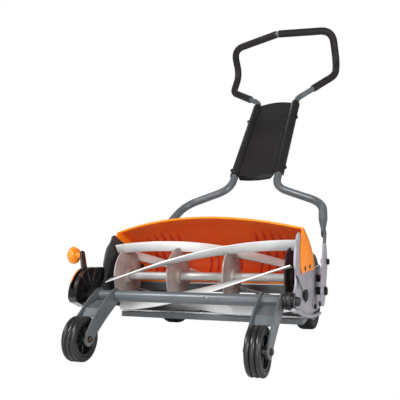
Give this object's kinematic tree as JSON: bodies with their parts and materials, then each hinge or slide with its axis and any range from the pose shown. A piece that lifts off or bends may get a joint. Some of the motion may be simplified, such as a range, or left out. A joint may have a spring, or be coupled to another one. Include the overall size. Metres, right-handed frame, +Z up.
{
  "type": "push reel mower",
  "caption": "Push reel mower with a helical blade cylinder between side plates, chain drive from rear wheels, orange chute, forked front wheels and a looped handle.",
  "frame": {"origin": "middle of the footprint, on the ground under the wheels", "axes": "+X to the right seen from the front, +Y from the front wheels back to the handle, +Z up"},
  "size_m": [0.5584, 1.2524, 1.0794],
  "materials": {
    "slate_paint": "satin slate-grey paint",
    "silver_powder": "speckled silver powder coat",
    "dark_powder": "speckled dark powder coat",
    "pale_paint": "satin pale grey paint",
    "ground_steel": "ground edge steel",
    "black_steel": "black oxide steel",
    "black_plastic": "fine-grained moulded plastic",
    "orange_plastic": "satin orange plastic",
    "tyre_rubber": "moulded rubber",
    "grip_foam": "closed-cell foam"
  },
  "bodies": {
    "frame": {"side_plate_left": "dark_powder", "side_plate_right": "silver_powder", "lower_stay": "silver_powder", "rear_cross_member": "slate_paint", "bed_bar": "slate_paint", "bedknife": "ground_steel", "tube_bushing_left": "black_plastic", "tube_bushing_right": "black_plastic", "reel_bearing_left": "black_plastic", "reel_bearing_right": "black_plastic", "quadrant_housing": "black_plastic", "height_scale": "orange_plastic", "chain_case": "black_plastic", "drive_chain": "black_steel", "chute": "orange_plastic", "handle_pivot_left": "black_steel", "handle_pivot_right": "black_steel"},
    "height_shaft": {"front_tube": "slate_paint", "tube_cap_right": "black_plastic", "fork_left": "slate_paint", "fork_right": "slate_paint", "front_axle_left": "black_steel", "front_axle_right": "black_steel", "height_lever": "black_plastic", "lever_knob": "orange_plastic"},
    "front_wheel_left": {"front_tyre_left": "tyre_rubber", "front_hub_left": "black_plastic"},
    "front_wheel_right": {"front_tyre_right": "tyre_rubber", "front_hub_right": "black_plastic"},
    "drive_axle": {"rear_axle": "ground_steel", "axle_sprocket": "black_steel", "rear_tyre_left": "tyre_rubber", "rear_hub_left": "black_plastic", "rear_tyre_right": "tyre_rubber", "rear_hub_right": "black_plastic"},
    "reel": {"reel_shaft": "pale_paint", "reel_disc_1": "pale_paint", "reel_disc_2": "pale_paint", "reel_disc_3": "pale_paint", "reel_disc_4": "pale_paint", "reel_blade_1": "pale_paint", "reel_blade_2": "pale_paint", "reel_blade_3": "pale_paint", "reel_blade_4": "pale_paint", "reel_blade_5": "pale_paint", "reel_sprocket": "black_steel"},
    "adjuster": {"adjuster_knob": "black_plastic"},
    "handle": {"handle_strap_left": "silver_powder", "handle_strap_right": "silver_powder", "strap_bolt_left": "black_steel", "strap_bolt_right": "black_steel", "lower_tube_left": "slate_paint", "lower_tube_right": "slate_paint", "handle_panel": "black_plastic", "grip_tube": "slate_paint", "grip_left": "grip_foam", "grip_right": "grip_foam"}
  },
  "joints": [
    {"name": "height_adjust", "type": "hinge", "parent": "frame", "child": "height_shaft", "pos_m": [0.00985, -0.46718, 0.127], "axis": [1, 0, 0], "range_deg": [-33, 49]},
    {"name": "front_wheel_left_spin", "type": "hinge", "parent": "height_shaft", "child": "front_wheel_left", "pos_m": [-0.18815, -0.57817, 0.048], "axis": [1, 0, 0], "continuous": true},
    {"name": "front_wheel_right_spin", "type": "hinge", "parent": "height_shaft", "child": "front_wheel_right", "pos_m": [0.20785, -0.57817, 0.048], "axis": [1, 0, 0], "continuous": true},
    {"name": "drive_spin", "type": "hinge", "parent": "frame", "child": "drive_axle", "pos_m": [0.00985, -0.07618, 0.104], "axis": [1, 0, 0], "continuous": true},
    {"name": "reel_spin", "type": "hinge", "parent": "frame", "child": "reel", "pos_m": [0.00985, -0.34218, 0.163], "axis": [1, 0, 0], "continuous": true},
    {"name": "adjuster_turn", "type": "hinge", "parent": "frame", "child": "adjuster", "pos_m": [0.25585, -0.34518, 0.125], "axis": [1, 0, 0], "range_deg": [-90, 90]},
    {"name": "handle_tilt", "type": "hinge", "parent": "frame", "child": "handle", "pos_m": [0.00985, -0.17717, 0.116], "axis": [1, 0, 0], "range_deg": [0, 30]}
  ],
  "couplings": [
    {"joint": "reel_spin", "follows": "drive_spin", "ratio": 2.4444}
  ]
}
